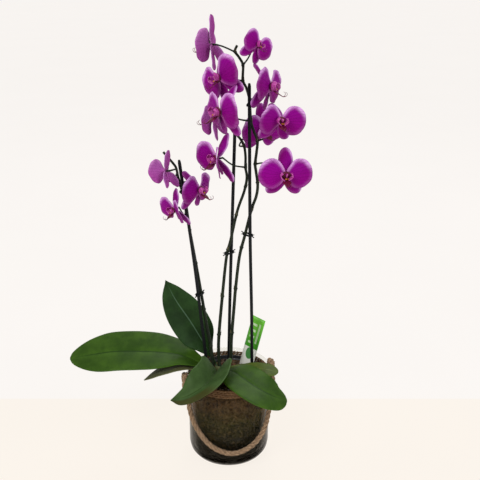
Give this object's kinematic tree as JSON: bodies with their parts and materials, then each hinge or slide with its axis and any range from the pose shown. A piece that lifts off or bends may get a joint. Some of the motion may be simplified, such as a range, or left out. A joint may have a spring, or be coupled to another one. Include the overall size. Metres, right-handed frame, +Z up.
{
  "type": "potted orchid",
  "caption": "Moth orchid with flower spikes tied to stakes, in a nursery pot and moss inside a glass jar with a jute rope handle.",
  "frame": {"origin": "centre of the flat base of the jar, on the surface it stands on", "axes": "+Z up along the jar and the flower spikes; -Y towards the side the rope handle hangs on; +X to the right seen from that side"},
  "size_m": [0.3721, 0.1761, 0.684],
  "materials": {
    "glass": "clear, glossy",
    "moss": "fibrous, dry",
    "pot": "smooth, slightly glossy",
    "bark": "rough chips",
    "jute": "twisted fibre",
    "stake": "satin",
    "leaf": "waxy, satin",
    "stem": "smooth, satin",
    "petal": "soft sheen",
    "lip": "waxy",
    "label": "satin"
  },
  "bodies": {
    "root": {"bark_mix": "bark", "clip_left_high": "stake", "clip_left_low": "stake", "clip_middle": "stake", "clip_right_high": "stake", "clip_right_low": "stake", "crown": "stem", "flower_01_lip": "lip", "flower_01_tepals": "petal", "flower_02_lip": "lip", "flower_02_tepals": "petal", "flower_03_lip": "lip", "flower_03_tepals": "petal", "flower_04_lip": "lip", "flower_04_tepals": "petal", "flower_05_lip": "lip", "flower_05_tepals": "petal", "flower_06_lip": "lip", "flower_06_tepals": "petal", "flower_07_lip": "lip", "flower_07_tepals": "petal", "flower_08_lip": "lip", "flower_08_tepals": "petal", "flower_09_lip": "lip", "flower_09_tepals": "petal", "flower_10_lip": "lip", "flower_10_tepals": "petal", "flower_11_lip": "lip", "flower_11_tepals": "petal", "flower_12_lip": "lip", "flower_12_tepals": "petal", "flower_13_lip": "lip", "flower_13_tepals": "petal", "glass_jar": "glass", "handle_knot_left": "jute", "handle_knot_right": "jute", "leaf_arching": "leaf", "leaf_back": "leaf", "leaf_broad": "leaf", "leaf_folded": "leaf", "leaf_long": "leaf", "leaf_small": "leaf", "moss_lining": "moss", "neck_rope": "jute", "nursery_pot": "pot", "plant_label": "label", "rope_handle": "jute", "spike_left": "stem", "spike_middle": "stem", "spike_right": "stem", "stake_left": "stake", "stake_middle": "stake", "stake_right": "stake"}
  },
  "joints": []
}
